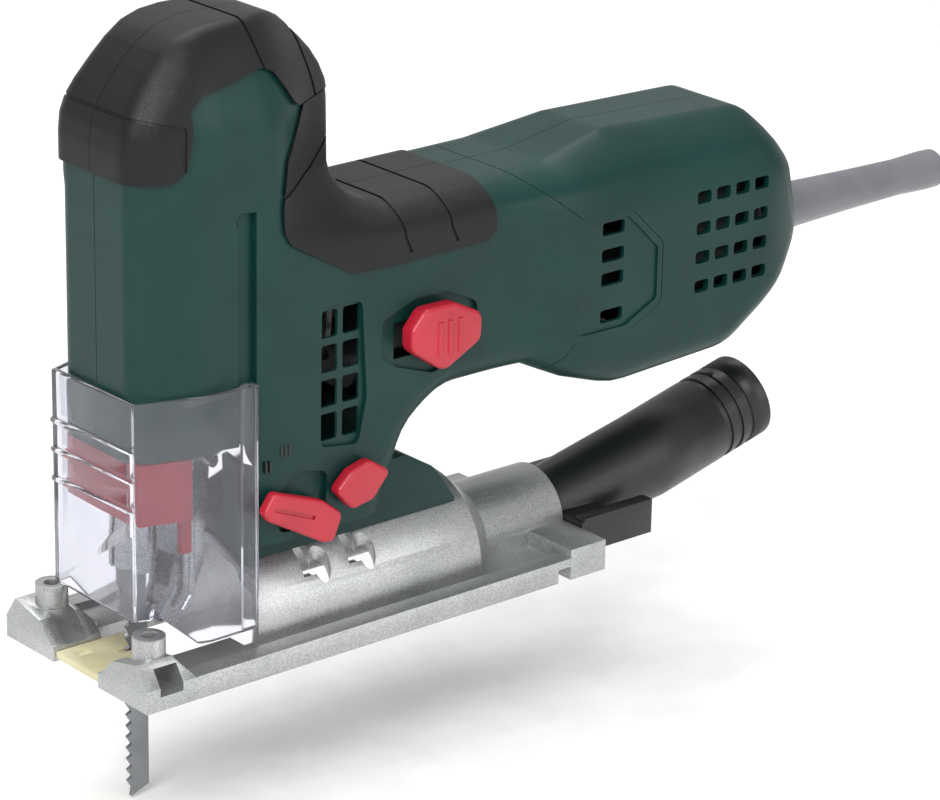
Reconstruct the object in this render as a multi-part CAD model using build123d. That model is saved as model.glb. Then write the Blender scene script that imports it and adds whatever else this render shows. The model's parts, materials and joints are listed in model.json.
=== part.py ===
from build123d import *
import math
import os

# Jigsaw with a tall grip column.  Millimetres, +Z up, +X to the rear, -Y the tool's left side.
# The origin is where the blade's plunger line meets the sole plane.

# ---- driving dimensions -------------------------------------------------------------------
base_length = 184.5
base_width = 75.0
base_front = -23.5
sole_thickness = 5.0
rail_height = 7.5
rail_width = 7.0
tail_height = 10.5
tail_length = 15.0
barrel_radius = 26.3
barrel_wall = 3.2
barrel_axis_z = 8.9
barrel_front = 27.0
barrel_length = 90.0
barrel_cone = 11.0
spigot_radius = 16.4
lug_inner = 11.9
lug_length = 19.0
lug_height = 14.5
boss_radius = 5.2
boss_top = 19.8
boss_x = -14.3
boss_y = 25.7
guide_hole_radius = 2.5
rod_slot_x = 8.5
rod_slot_low = 4.5
rod_slot_high = 12.5
insert_thickness = 2.4

wall = 2.8
gap = 0.4
running_clearance = 0.05
column_front = -14.0
column_half_width = 26.3
column_top = 203.0
column_rim = 72.6
grip_half_width = 28.5
grip_top = 136.8
grip_bottom = 73.6
housing_foot = 38.8
front_block = 25.4
motor_half_width = 34.0
motor_top = 142.4
motor_bottom = 59.5
motor_rear = 257.0
seam_top_x = 136.0
seam_bottom_x = 168.0
neck_rear = 65.0
edge_radius = 12.0
cap_skin = 1.6
grip_skin = 1.4
skin_overlap = 0.02

motor_axis_z = 105.0
stator_radius = 27.0
stator_half_width = 22.3
stator_front = 80.0
stator_length = 46.0
armature_radius = 15.6
shaft_radius = 4.0
shaft_stub_radius = 2.2
shaft_front = 15.0
shaft_rear = 166.0
bearing_radius = 11.0
bearing_width = 7.0
fan_side_gap = 1.0
fan_x = 56.0
fan_width = 10.0
commutator_radius = 11.0
commutator_x = 136.0
commutator_length = 12.0

gear_side_gap = 2.485
pinion_teeth = 9
gear_teeth = 45
gear_x = 16.5
gear_width = 7.0
crank_radius = 11.0
crank_pin_radius = 4.0
spindle_radius = 4.0

plunger_radius = 5.0
plunger_low = 56.0
plunger_high = 168.0
holder_radius = 6.5
holder_low = 32.0
holder_high = 62.0
blade_width = 8.0
blade_thickness = 1.3
blade_tip = -47.0
blade_tooth_pitch = 3.75
bush_wall = 3.0
bridge_inset = 7.8
skirt_radius = 9.4
lever_ring_radius = 11.8
lever_inset = 1.6
lever_wall = 2.8
lever_rear = 4

roller_radius = 5.0
roller_groove_radius = 4.2
roller_half_width = 3.5
roller_z = 15.0
fork_pivot_x = 21.0
fork_pivot_z = 62.0
fork_cheek = 2.4

guard_thickness = 2.0
guard_low_front = 22.4
guard_low_side = 12.5
guard_top = 92.4
guard_groove = 5.2

selector_x = 48.5
selector_z = 44.5
selector_length = 31.0
selector_tail = 8.6
selector_width = 11.5
selector_tilt = 22.0
blower_x = 66.0
blower_z = 53.0
blower_length = 16.0
blower_width = 9.0
blower_tilt = 58.0
knob_stem_radius = 3.5
button_x = 95.0
button_z = 94.0
button_length = 27.0
button_height = 21.0
wheel_radius = 9.0
wheel_x = 186.0
wheel_z = 95.5
wheel_width = 15.0
screw_radius = 1.9
screw_boss_radius = 4.6
screw_head_radius = 3.4
clamp_slot = 5.2

nozzle_radius = 15.0
nozzle_wall = 2.5
nozzle_tilt = 14.2
nozzle_reach = 95.5
nozzle_clip_length = 32.0
nozzle_end_z = 28.1
nozzle_tube = 48.0
boot_axis_z = 93.75
boot_end = 346.0
boot_bore_radius = 3.75
boot_root_radius = 9.4
boot_neck_radius = 6.4

# ---- values worked out from them ----------------------------------------------------------
base_rear = base_front + base_length
nozzle_end_x = base_rear + nozzle_reach
half_base = base_width / 2
gear_module = (column_half_width - wall - gear_side_gap) / (gear_teeth / 2 + 0.85)
fan_radius = column_half_width - wall - fan_side_gap
gear_distance = gear_module * (pinion_teeth + gear_teeth) / 2
gear_axis_z = motor_axis_z + gear_distance
yoke_front = 2.0
yoke_rear = 8.6
crank_pin_front = yoke_rear + 0.5
blade_back = 3.2
blade_front = blade_back - blade_width
roller_x = blade_back + roller_groove_radius + 0.15
holder_slot = blade_thickness / 2 + running_clearance
lower_bridge_z = (76.0, 86.0)
upper_bridge_z = (152.0, 160.0)
case_front = 27.5
case_rear = 40.0
front_screws = [(44.0, 62.0), (50.0, 168.0), (14.0, 180.0), (148.0, 84.0)]
motor_screws = [(190.0, 70.0), (190.0, 133.0)]
clamp_screws_x = (50.0, 68.0)
knob_face_y = 1 - grip_half_width
stem_end_y = -14.0
link_face_y = -24.9
wheel_y = motor_half_width - wheel_radius + 1.5


# ---- helpers ------------------------------------------------------------------------------
def block(x0, x1, y0, y1, z0, z1):
    """A box given by its two corners."""
    centre = ((x0 + x1) / 2, (y0 + y1) / 2, (z0 + z1) / 2)
    return Pos(*centre) * Box(x1 - x0, y1 - y0, z1 - z0)


def rod_x(radius, x0, x1, y=0.0, z=0.0):
    """A cylinder along X."""
    return Pos((x0 + x1) / 2, y, z) * Rot(0, 90, 0) * Cylinder(radius, x1 - x0)


def rod_y(radius, y0, y1, x=0.0, z=0.0):
    """A cylinder along Y."""
    return Pos(x, (y0 + y1) / 2, z) * Rot(90, 0, 0) * Cylinder(radius, y1 - y0)


def rod_z(radius, z0, z1, x=0.0, y=0.0):
    """A cylinder along Z."""
    return Pos(x, y, (z0 + z1) / 2) * Cylinder(radius, z1 - z0)


def ring_x(outer, inner, x0, x1, z):
    """A plain ring about an axis along X."""
    return rod_x(outer, x0, x1, 0, z) - rod_x(inner, x0 - 1, x1 + 1, 0, z)


def side_prism(points, half_width):
    """An outline in X and Z, drawn out to both sides.  A third value rounds that corner."""
    corners = [(point[0], point[1]) for point in points]
    radii = [point[2] if len(point) > 2 else 0 for point in points]
    if any(radii):
        edge = FilletPolyline(*corners, radius=radii, close=True)
    else:
        edge = Polyline(*corners, close=True)
    return extrude(Plane.XZ * make_face(edge), amount=half_width, both=True)


def plan_prism(points, z0, z1):
    """An outline in X and Y, drawn up from z0 to z1."""
    face = make_face(Polyline(*points, close=True))
    return Pos(0, 0, z0) * extrude(face, amount=z1 - z0)


def round_sides(body, radius):
    """Rounds the edges of the two outermost side faces."""
    faces = body.faces().filter_by(Axis.Y).sort_by(Axis.Y)
    edges = faces[0].edges() + faces[-1].edges()
    return fillet(edges, radius)


def mirrored(points):
    """Adds the mirror image of a half outline, from back to front."""
    return points + [(x, -y) for x, y in reversed(points)]


def left_half(body):
    """What lies on the -Y side."""
    return body & block(-60, 400, -60, 0, -60, 260)


def right_half(body):
    """What lies on the +Y side."""
    return body & block(-60, 400, 0, 60, -60, 260)


# ---- housing shells -----------------------------------------------------------------------
def front_body(inset):
    """The column, body grip and front block as one solid, drawn in by inset."""
    i = inset
    front = column_front + i
    top = column_top - cap_skin - i
    neck = neck_rear - i
    outline = [
        (front, 20 + i), (front, top - 24, 24 - i), (6, top, 30 - i), (44, top, 24 - i),
        (neck, 182, 24 - i), (neck, grip_top - i, 14), (175, grip_top - i),
        (175, grip_bottom + i), (100 - i, grip_bottom + i, 20), (86 - i, 64 + i, 20),
        (68 - i, 20 + i),
    ]
    body = side_prism(outline, grip_half_width - i)
    body = round_sides(body, edge_radius)
    half_plan = [
        (front, 19.5 - i / 2), (8, column_half_width - i), (66, column_half_width - i),
        (84, grip_half_width - i), (200, grip_half_width - i),
    ]
    return body & plan_prism(mirrored(half_plan), 0, 240)


def rear_body(inset):
    """The motor housing as one solid, drawn in by inset."""
    i = inset
    outline = [
        (seam_top_x - 30, grip_top - i), (seam_top_x + 10, grip_top + 0.5 - i),
        (174, motor_top - i), (230 - i / 2, motor_top - 3 - i, 16), (248 - i, 128, 20),
        (motor_rear - i, 96, 20), (247 - i, 80, 20), (220 - i / 2, 62 + i, 20),
        (170, motor_bottom + i, 26), (150, 66 + i), (130, grip_bottom + i),
        (seam_top_x - 30, grip_bottom + i),
    ]
    body = side_prism(outline, motor_half_width - i)
    body = round_sides(body, edge_radius)
    half_plan = [
        (seam_top_x - 30, grip_half_width - i), (seam_top_x, grip_half_width - i),
        (172, motor_half_width - i), (232, motor_half_width - i), (motor_rear + 3, 24 - i),
    ]
    return body & plan_prism(mirrored(half_plan), 0, 240)


def seam_wedge(shift):
    """Everything behind the slanted seam between the front and the motor shells."""
    low = seam_bottom_x + shift
    high = seam_top_x + shift
    points = [(low, 30), (high, 170), (420, 170), (420, 30)]
    return side_prism(points, 60)


def vent_windows():
    """Openings for the cooling air, through the side walls."""
    cuts = []
    for row_z in (72.0, 83.0, 94.2, 105.4):
        for column_x in (53.2, 61.8):
            cuts.append(block(column_x - 3.3, column_x + 3.3, -60, 60, row_z - 4.4, row_z + 4.4))
    return cuts


def motor_vents():
    """Four rows of four slots near the rear and one column further forward, on both sides."""
    cuts = []
    for row, row_z in enumerate((88.0, 98.0, 108.0, 118.5)):
        for column in range(4):
            x = 201 + 8.6 * column
            cuts.append(block(x, x + 6, -60, 60, row_z - 2, row_z + 2))
    for row_z in (86.0, 98.5, 106.5, 117.5):
        cuts.append(block(160, 170, -60, 60, row_z - 2.2, row_z + 2.2))
    return cuts


def with_bosses(shell, inside, places, head_y):
    """Adds the screw bosses across the inside and drills them, heads sunk on the right."""
    for x, z in places:
        shell += rod_y(screw_boss_radius, -60, 60, x, z) & inside
    for x, z in places:
        shell -= rod_y(screw_radius + running_clearance, 6 - head_y, 60, x, z)
        shell -= rod_y(screw_head_radius + running_clearance, head_y, 60, x, z)
    return shell


def front_shell():
    """Both front shells in one, before they are parted at the middle plane."""
    shell = front_body(0) - front_body(wall)
    shell = with_bosses(shell, front_body(wall / 2), front_screws, column_half_width - 5)
    shell -= block(-60, front_block, -60, 60, 0, column_rim)
    shell -= block(-60, 420, -60, 60, 0, housing_foot)
    shell -= seam_wedge(0)
    for side in (-1, 1):
        y0, y1 = sorted((side * (column_half_width - 1.6), side * 60))
        shell -= block(front_block - guard_groove - 0.3, front_block + 0.3, y0, y1, 0, 146)
    for cut in vent_windows():
        shell -= cut
    low, high = button_x - 19, button_x + 10
    shell -= block(low, high, -60, -20, button_z - 6, button_z + 6)
    for x, z in ((selector_x, selector_z), (blower_x, blower_z)):
        shell -= rod_y(knob_stem_radius + running_clearance, -60, -20, x, z)
    return shell


def rear_shell():
    """Both motor shells in one, before they are parted at the middle plane."""
    shell = rear_body(0) - rear_body(wall)
    shell = with_bosses(shell, rear_body(wall / 2), motor_screws, motor_half_width - 5)
    shell &= seam_wedge(0.2)
    for cut in motor_vents():
        shell -= cut
    shell -= rod_x(boot_root_radius + 0.3, 230, 280, 0, boot_axis_z)
    reach = wheel_radius - 0.6
    half = wheel_width / 2 + gap
    shell -= block(wheel_x - reach, wheel_x + reach, 28, 60, wheel_z - half, wheel_z + half)
    return shell


def cap_rubber():
    """The soft cap over the top of the column."""
    edge = [(-40, 163), (12, 156), (22, 175), (53, 189), (60, 176), (90, 176), (90, 230),
            (-40, 230)]
    return (front_body(-cap_skin) & side_prism(edge, 60)) - front_body(-skin_overlap)


def grip_rubber():
    """The soft skin over the neck and the top of the body grip."""
    edge = [(37, 134), (37, 143), (58, 174), (90, 174), (90, 150), (124, 150), (119, 121),
            (62, 121)]
    return (front_body(-grip_skin) & side_prism(edge, 60)) - front_body(-skin_overlap)


def foot_saddle():
    """The shoe that carries the base barrel."""
    outline = [
        (barrel_front + 1, 22), (barrel_front + 1, housing_foot + 1.8),
        (75, housing_foot + 1.8), (78, 50), (93, 50, 5), (104, 43.5, 8), (113, 31), (113, 22),
    ]
    body = side_prism(outline, 17)
    body -= rod_x(barrel_radius + 0.35, 0, 200, 0, barrel_axis_z)
    for x in clamp_screws_x:
        body -= rod_z(screw_radius + running_clearance, 0, 80, x)
        body -= rod_z(screw_head_radius + gap, housing_foot + 0.5, 80, x)
    walls = front_body(-0.3) - front_body(wall + 0.3)
    return body - (walls & block(-60, 400, -60, 60, housing_foot - 0.3, 260))


# ---- gear train and motor -----------------------------------------------------------------
def toothed_disc(teeth, width, x0, z):
    """A spur gear with straight-sided teeth and a little backlash, one tooth straight down."""
    pitch_radius = gear_module * teeth / 2
    root = pitch_radius - 1.15 * gear_module
    tip = pitch_radius + 0.85 * gear_module
    half_root = 0.29 * math.pi * gear_module
    half_tip = 0.12 * math.pi * gear_module
    disc = rod_x(root, x0, x0 + width, 0, z)
    tooth = Polyline((root - 0.4, -half_root), (root, -half_root), (tip, -half_tip),
                     (tip, half_tip), (root, half_root), (root - 0.4, half_root), close=True)
    solid_tooth = extrude(make_face(tooth), amount=width)
    blanks = []
    for index in range(teeth):
        turn = Rot(0, 0, 360 * index / teeth)
        blanks.append(Pos(x0, 0, z) * Rot(0, 90, 0) * turn * solid_tooth)
    return disc + blanks


def pinion():
    """The small gear on the nose of the motor shaft."""
    body = toothed_disc(pinion_teeth, gear_width + 2, gear_x - 1, motor_axis_z)
    return body - rod_x(shaft_stub_radius, 0, 60, 0, motor_axis_z)


def drive_gear():
    """The large gear, with a hub that turns on the spindle and a web with six holes."""
    body = toothed_disc(gear_teeth, gear_width, gear_x, gear_axis_z)
    body += rod_x(7.5, gear_x, case_front - 0.6, 0, gear_axis_z)
    body -= rod_x(spindle_radius + running_clearance, 0, 60, 0, gear_axis_z)
    for angle in range(45, 360, 45):
        y = 13.5 * math.cos(math.radians(angle))
        z = gear_axis_z + 13.5 * math.sin(math.radians(angle))
        body -= rod_x(2.6, 0, 60, y, z)
    return body


def crank_pin():
    """The eccentric pin on the face of the drive gear."""
    return rod_x(crank_pin_radius, crank_pin_front, gear_x, crank_radius, gear_axis_z)


def gear_spindle():
    """The fixed pin that the drive gear turns on."""
    return rod_x(spindle_radius, gear_x - 3, case_rear - 1, 0, gear_axis_z)


def gear_case():
    """The cast plate that holds the spindle and the front bearing."""
    half = column_half_width - wall - gap
    body = block(case_front, case_rear, -half, half, 89, 152)
    edges = body.edges().filter_by(Axis.X)
    body = fillet(edges, 8)
    body -= rod_x(bearing_radius, case_rear - bearing_width - 1, 80, 0, motor_axis_z)
    body -= rod_x(shaft_radius + 2, 0, 80, 0, motor_axis_z)
    body -= rod_x(spindle_radius, 0, 80, 0, gear_axis_z)
    for y in (-16.0, 16.0):
        for z in (96.0, 145.0):
            body -= rod_x(2.0, 0, 80, y, z)
    return body


def ball_bearing(x0):
    """A sealed bearing for the motor shaft."""
    bore = shaft_radius + running_clearance
    ring = ring_x(bearing_radius, bore, x0, x0 + bearing_width, motor_axis_z)
    for x in (x0, x0 + bearing_width - 0.4):
        ring -= ring_x(bearing_radius - 2, shaft_radius + 1.8, x, x + 0.4, motor_axis_z)
    return ring


def bearing_bracket():
    """The cross frame behind the commutator that holds the rear bearing."""
    x0 = commutator_x + commutator_length + 4
    half = grip_half_width - wall - gap
    body = block(x0, x0 + 10, -half, half, motor_axis_z - 14, motor_axis_z + 14)
    body -= rod_x(bearing_radius, x0 + 10 - bearing_width, 300, 0, motor_axis_z)
    body -= rod_x(shaft_radius + 2, 0, 300, 0, motor_axis_z)
    for y in (-19.0, 19.0):
        body -= rod_x(4.0, 0, 300, y, motor_axis_z)
    return body - block(0, 300, -40, link_face_y + 2.4, 80, button_z + 4)


def rear_bearing():
    return ball_bearing(commutator_x + commutator_length + 14 - bearing_width)


def front_bearing():
    return ball_bearing(case_rear - bearing_width - 1)


def rotor_shaft():
    """The steel shaft through armature, fan and both bearings."""
    body = rod_x(shaft_radius, case_front + 2, shaft_rear, 0, motor_axis_z)
    return body + rod_x(shaft_stub_radius, shaft_front, case_front + 2, 0, motor_axis_z)


def armature():
    """The laminated armature core with its slots and the end turns of its winding."""
    rear = stator_front + stator_length
    body = rod_x(armature_radius, stator_front + 1, rear - 1, 0, motor_axis_z)
    for index in range(12):
        angle = math.radians(30 * index)
        y = (armature_radius - 1) * math.cos(angle)
        z = motor_axis_z + (armature_radius - 1) * math.sin(angle)
        body -= rod_x(1.3, 0, 300, y, z)
    body += rod_x(armature_radius - 3, stator_front - 6, rear + 5, 0, motor_axis_z)
    return body - rod_x(shaft_radius, 0, 300, 0, motor_axis_z)


def commutator():
    """The segmented copper ring that the brushes run on."""
    x1 = commutator_x + commutator_length
    body = ring_x(commutator_radius, shaft_radius, commutator_x, x1, motor_axis_z)
    for index in range(24):
        slit = block(0, 300, commutator_radius - 1.2, commutator_radius + 1, -0.25, 0.25)
        body -= Pos(0, 0, motor_axis_z) * Rot(15 * index, 0, 0) * slit
    return body


def fan():
    """The cooling fan: a disc and hub with nine blades on its rear side."""
    body = rod_x(fan_radius, fan_x, fan_x + 2, 0, motor_axis_z)
    body += rod_x(8, fan_x, fan_x + fan_width, 0, motor_axis_z)
    for index in range(9):
        blade = block(fan_x + 2, fan_x + fan_width, 7, fan_radius - 1, -0.9, 0.9)
        body += Pos(0, 0, motor_axis_z) * Rot(40 * index, 0, 0) * blade
    return body - rod_x(shaft_radius, 0, 300, 0, motor_axis_z)


def fan_baffle():
    """The plate that keeps the fan's air from running back over the motor."""
    half = column_half_width - wall - gap
    x0 = fan_x + fan_width + 1.5
    low, high = motor_axis_z - 27.5, motor_axis_z + 25
    body = block(x0, x0 + 1.6, -half, half, low, high)
    body = fillet(body.edges().filter_by(Axis.X), 10)
    return body - rod_x(fan_radius - 6, 0, 300, 0, motor_axis_z)


def stator_core():
    """The laminated field core, flat on both sides."""
    x1 = stator_front + stator_length
    body = ring_x(stator_radius, armature_radius + 0.5, stator_front, x1, motor_axis_z)
    return body & block(0, 300, -stator_half_width, stator_half_width, 0, 200)


def field_coils():
    """The end turns of the two field windings, above and below the armature."""
    body = []
    x1 = stator_front + stator_length
    for x0, x2 in ((stator_front - 6, stator_front), (x1, x1 + 6)):
        turns = ring_x(stator_radius - 3, armature_radius + 1, x0, x2, motor_axis_z)
        for z0, z1 in ((motor_axis_z + 7, 200), (0, motor_axis_z - 7)):
            body.append(turns & block(0, 300, -20, 20, z0, z1))
    return body


def brush_set(kind):
    """The brush gear: two holders, or the two carbons in them, or their springs."""
    x_mid = commutator_x + commutator_length / 2
    pieces = []
    for side in (-1, 1):
        reach = commutator_radius + 0.3
        if kind == "carbon":
            solid = block(x_mid - 2.5, x_mid + 2.5, reach, reach + 9, -4, 4)
        elif kind == "holder":
            solid = block(x_mid - 4, x_mid + 4, reach + 2, reach + 13, -5.5, 5.5)
            solid -= block(x_mid - 2.55, x_mid + 2.55, 0, reach + 12, -4.05, 4.05)
        else:
            solid = rod_y(2.2, reach + 9, reach + 12, x_mid, 0)
            solid -= rod_y(1.5, reach + 9, reach + 12, x_mid, 0)
        turn = 0 if side == 1 else 180
        pieces.append(Pos(0, 0, motor_axis_z) * Rot(turn, 0, 0) * solid)
    return pieces


# ---- plunger, blade and their guides ------------------------------------------------------
def plunger_rod():
    return rod_z(plunger_radius, plunger_low, plunger_high)


def crank_yoke():
    """The slotted cross piece behind the rod that the crank pin drives."""
    reach = crank_radius + crank_pin_radius + 3
    body = block(yoke_front, yoke_rear, -reach, reach, gear_axis_z - 8, gear_axis_z + 8)
    slot = crank_pin_radius + running_clearance
    body -= block(plunger_radius + 0.6, 20, 3 - reach, reach - 3, gear_axis_z - slot,
                  gear_axis_z + slot)
    return body - rod_z(plunger_radius, 0, 220)


def blade_holder():
    """The clamp sleeve at the foot of the rod, slotted for the blade's shank."""
    body = rod_z(holder_radius, holder_low, holder_high)
    body -= rod_z(plunger_radius, plunger_low, 200)
    body -= block(blade_front - 3, blade_back + 0.1, -holder_slot, holder_slot, 0, 53)
    return body


def blade():
    """A T-shank wood blade, teeth to the front."""
    points = [(blade_back, blade_tip + 2.5), (blade_back, 36), (1.9, 36), (1.9, 45),
              (3.0, 45), (3.0, 50), (-4.7, 50), (-4.7, 45), (-3.6, 45), (-3.6, 36),
              (blade_front, 36)]
    count = int((26 - blade_tip) / blade_tooth_pitch)
    for index in range(count):
        z = 26 - blade_tooth_pitch * index
        points.append((blade_front, z))
        points.append((blade_front + 1.7, z - blade_tooth_pitch * 0.75))
    points.append((blade_front + 1.2, blade_tip))
    return side_prism(points, blade_thickness / 2)


def guide_bush(z0, z1, skirt):
    """A plain bearing bush for the rod, the lower one with a skirt for the release lever."""
    inner = plunger_radius + running_clearance
    body = rod_z(plunger_radius + bush_wall, z0, z1)
    if skirt:
        body += rod_z(skirt_radius, z0 - 11, z0)
        body -= rod_z(holder_radius + 0.8, z0 - 12, z0 - 0.01)
    return body - rod_z(inner, z0 - 20, z1 + 1)


def guide_bridge(z0, z1, rear):
    """A cast cross piece between the shells, bored for a bush."""
    half = column_half_width - bridge_inset
    body = block(column_front + wall + gap, rear, -half, half, z0, z1)
    body = chamfer(body.edges().filter_by(Axis.Z), 4)
    return body - rod_z(plunger_radius + bush_wall, z0 - 1, z1 + 1)


# ---- orbital action -----------------------------------------------------------------------
def guide_roller():
    """The grooved steel roller behind the blade."""
    body = rod_y(roller_radius, -roller_half_width, roller_half_width, roller_x, roller_z)
    body = chamfer(body.edges().filter_by(GeomType.CIRCLE), 0.8)
    groove = rod_y(roller_radius + 1, -0.9, 0.9, roller_x, roller_z)
    groove -= rod_y(roller_groove_radius, -0.9, 0.9, roller_x, roller_z)
    body -= groove
    return body - rod_y(1.5 + running_clearance, -9, 9, roller_x, roller_z)


def roller_pin():
    reach = roller_half_width + 0.4 + fork_cheek
    return rod_y(1.5, -reach, reach, roller_x, roller_z)


def orbital_fork():
    """The two-cheeked lever that carries the roller and swings at its top."""
    inner = roller_half_width + 0.4
    outer = inner + fork_cheek
    outline = [
        (roller_x - 2.8, roller_z - 2.6), (roller_x + 3, roller_z - 2.6), (20, 30),
        (fork_pivot_x + 3, fork_pivot_z), (fork_pivot_x + 3, fork_pivot_z + 4),
        (fork_pivot_x - 4, fork_pivot_z + 4), (fork_pivot_x - 4, fork_pivot_z - 6),
        (13, 40), (9.4, 24), (roller_x - 2.8, roller_z + 2.6),
    ]
    body = side_prism(outline, outer)
    gap_zone = block(0, 15.5, -inner, inner, 0, 34) + block(-5, 13.6, -inner, inner, 0, 26)
    body -= gap_zone
    body -= rod_y(roller_radius + 1, -inner, inner, roller_x, roller_z)
    body -= rod_y(1.5, -20, 20, roller_x, roller_z)
    return body - rod_y(2 + running_clearance, -20, 20, fork_pivot_x, fork_pivot_z)


def fork_pin():
    return rod_y(2, -12, 12, fork_pivot_x, fork_pivot_z)


def touch_guard():
    """A bent wire beside the blade that keeps a finger off it."""
    path = FilletPolyline((13.8, -9.2, 60), (13.6, -9.2, 23), (10.5, -9.2, 18.5), radius=2.5)
    start = Plane((13.8, -9.2, 60), z_dir=(13.6 - 13.8, 0, 23 - 60))
    return sweep(start * Circle(1.0), path)


# ---- guard and release lever --------------------------------------------------------------
def front_plan(offset, rear):
    """The U-shaped outline round the column's front, moved outwards by offset."""
    o = offset
    half = [
        (column_front - o, 19.5 + o / 2), (8 - o / 3, column_half_width + o),
        (rear, column_half_width + o),
    ]
    return mirrored(half)


def chip_guard():
    """The clear cover that slides up over the column, with its two guide lips."""
    outer = plan_prism(front_plan(gap + guard_thickness, front_block), 5, guard_top)
    inner_points = front_plan(gap, front_block + 5)
    body = outer - plan_prism(inner_points, 0, 120)
    boss_clear = boss_x + boss_radius + 1.5
    low = [(-60, 0), (-60, guard_low_front), (boss_clear, guard_low_front),
           (boss_clear + 11, guard_low_side), (60, guard_low_side), (60, 0)]
    body -= side_prism(low, 60)
    for side in (-1, 1):
        inner = column_half_width - 1.2
        y0, y1 = sorted((side * inner, side * (column_half_width + gap)))
        lip = block(front_block - guard_groove + 0.2, front_block, y0, y1, guard_low_side,
                    guard_top)
        body += lip
    return body


def release_lever():
    """The red band across the front with its ring round the bush skirt and a rear arm."""
    outer = plan_prism(front_plan(-lever_inset, 12), column_rim - 20.5, column_rim - 0.8)
    inner = plan_prism(front_plan(-lever_inset - lever_wall, 12), 0, 120)
    body = (outer - inner) & block(-60, lever_rear, -60, 60, 0, 120)
    low, high = column_rim - 6.8, column_rim - 0.8
    body += rod_z(lever_ring_radius, low, high)
    body += block(column_front + 3, -8, -6, 6, low, high)
    body += block(1, 10, -14.5, -8, low, high)
    body += block(6.5, 10, -14.5, -11.5, 38, low + 1)
    return body - rod_z(skirt_radius + running_clearance, 0, 120)


# ---- base ---------------------------------------------------------------------------------
def barrel_form(inset, extra):
    """The stepped round body of the barrel, turned about its own axis."""
    big = barrel_radius - inset
    small = spigot_radius - inset
    x0 = barrel_front - extra
    x1 = barrel_front + barrel_length
    x2 = x1 + barrel_cone
    points = [(x0, 0), (x0, big), (x1, big), (x2, small), (base_rear + extra, small),
              (base_rear + extra, 0)]
    face = make_face(Polyline(*points, close=True))
    body = revolve(Plane.XZ * face, axis=Axis.X)
    return Pos(0, 0, barrel_axis_z) * body


def lug(side):
    """One front foot with its screw boss and the slot for the guide rod."""
    outline = [(lug_inner, 0), (lug_inner, 4), (19.4, 11.4), (32.4, lug_height),
               (half_base, 7.2), (half_base, 0)]
    face = make_face(Polyline(*[(side * y, z) for y, z in outline], close=True))
    body = Pos(base_front, 0, 0) * extrude(Plane.YZ * face, amount=lug_length)
    slope_x = base_front + lug_length
    slope = [(slope_x - 7, 30), (slope_x - 7, lug_height + 1), (slope_x + 1, 5.5),
             (slope_x + 1, 30)]
    body -= side_prism(slope, 60)
    body += rod_z(boss_radius, 3, boss_top, boss_x, side * boss_y)
    return body


def base_plate():
    """The cast base: sole, rails, barrel, spigot and the two front lugs."""
    plate = block(base_front, base_rear, -half_base, half_base, 0, sole_thickness)
    for side in (-1, 1):
        y0, y1 = sorted((side * (half_base - rail_width), side * half_base))
        plate += block(base_front, base_rear, y0, y1, 0, rail_height)
    tail = block(base_rear - tail_length, base_rear, -half_base, half_base, 0, tail_height)
    plate += tail
    plate -= block(base_rear - tail_length - 5.3, base_rear - tail_length, -60, 60, -1, 4.7)
    plate += barrel_form(0, 0)
    above_sole = block(base_front - 1, base_rear + 1, -half_base, half_base, 0, 60)
    plate &= above_sole
    for side in (-1, 1):
        plate += lug(side)
    plate -= barrel_form(barrel_wall, 3)
    plate -= block(base_front - 1, base_front + 20, -lug_inner, lug_inner, -1, 30)
    plate -= block(base_front + 18, barrel_front + 1, -15.5, 15.5, -1, 30)
    for side in (-1, 1):
        plate -= rod_z(guide_hole_radius, rod_slot_high - 2, 30, boss_x, side * boss_y)
    slot = block(boss_x - rod_slot_x / 2, boss_x + rod_slot_x / 2, -60, 60, rod_slot_low,
                 rod_slot_high)
    plate -= slot
    half = clamp_slot / 2
    for x in clamp_screws_x:
        plate -= block(x - half, x + half, -23, 23, 21, 60)
        plate -= rod_z(half + 0.9, 15, 60, x + 5, -21)
    return plate


def chip_insert():
    """The plastic insert that closes round the blade."""
    clear = 0.2
    x0 = base_front + 0.8
    body = block(x0, 1.8, -lug_inner + clear, lug_inner - clear, 1, 1 + insert_thickness)
    body -= block(blade_front - 2.5, 5, -1.2, 1.2, 0, 5)
    body -= block(x0 + 4, x0 + 9, 4.5, 8.5, 0, 5)
    return body


def base_clamp():
    """The clamp shoe inside the barrel."""
    body = rod_x(barrel_radius - barrel_wall - 0.35, 40, 88, 0, barrel_axis_z)
    body -= rod_x(barrel_radius - barrel_wall - 4, 0, 120, 0, barrel_axis_z)
    body &= block(0, 120, -9, 9, barrel_axis_z, 60)
    for x in clamp_screws_x:
        body -= rod_z(screw_radius, 0, 80, x)
    return body


# ---- controls -----------------------------------------------------------------------------
def side_knob(length, width, depth, round_radius, tail, tilt, x, z):
    """A bar against the left side, turned about its stem, with the stem inwards."""
    bar = Box(length, depth, width)
    bar = fillet(bar.edges().filter_by(Axis.Y), round_radius)
    bar = Rot(0, tilt, 0) * Pos(tail - length / 2, 0, 0) * bar
    bar = Pos(x, knob_face_y - depth / 2, z) * bar
    return bar + rod_y(knob_stem_radius, knob_face_y - 1, stem_end_y, x, z)


def orbital_selector():
    """The red lever on the left side that sets the pendulum stroke, with its shaft."""
    return side_knob(selector_length, selector_width, 5.2, 3.5, selector_tail, selector_tilt,
                     selector_x, selector_z)


def blower_knob():
    """The red knob that opens the chip blower."""
    return side_knob(blower_length, blower_width, 6.5, 3.0, blower_length / 2, -blower_tilt,
                     blower_x, blower_z)


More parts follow.
